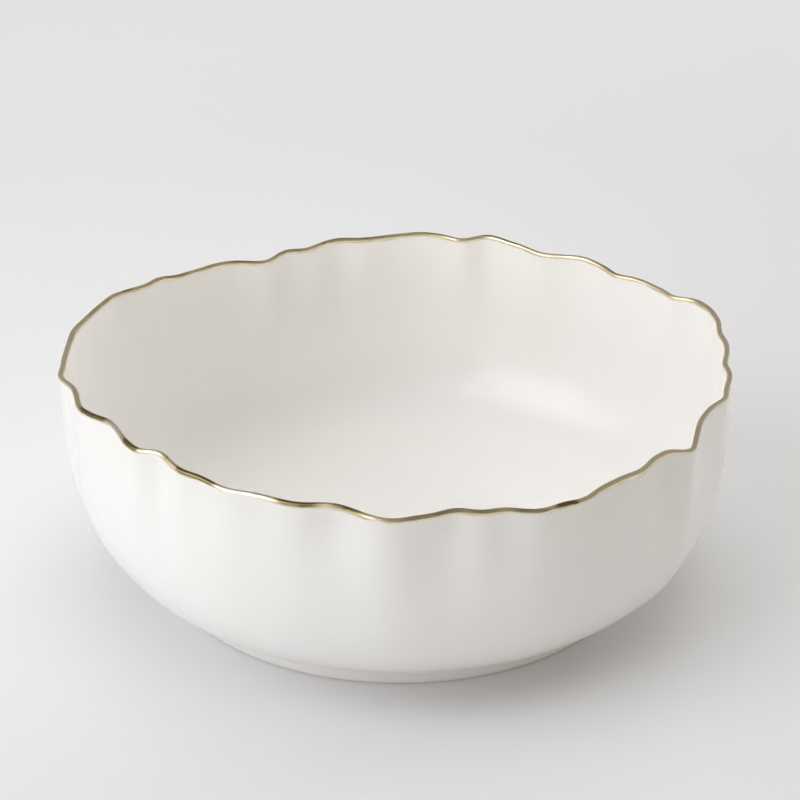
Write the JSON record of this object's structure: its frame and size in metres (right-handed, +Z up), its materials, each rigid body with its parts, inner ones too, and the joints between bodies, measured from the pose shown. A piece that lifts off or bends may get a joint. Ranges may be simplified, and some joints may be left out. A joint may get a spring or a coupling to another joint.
{
  "type": "porcelain serving bowl",
  "caption": "Deep round white serving bowl with a full belly, a low foot and an irregular pinched edge lined with gold.",
  "frame": {"origin": "middle of the foot, on the surface that the bowl stands on", "axes": "+Z up out of the bowl, +X across its widest way, -Y towards the low crest at the front of the edge"},
  "size_m": [0.266, 0.2609, 0.0947],
  "materials": {
    "clay": "fired unglazed porcelain, fine and matte",
    "glaze": "clear gloss glaze on warm white porcelain",
    "gold": "hand-painted bright gold, fired on"
  },
  "bodies": {
    "root": {"porcelain_body": "clay", "foot_ring": "clay", "outer_glaze": "glaze", "inner_glaze": "glaze", "underside_glaze": "glaze", "rim_gold_band": "gold"}
  },
  "joints": []
}
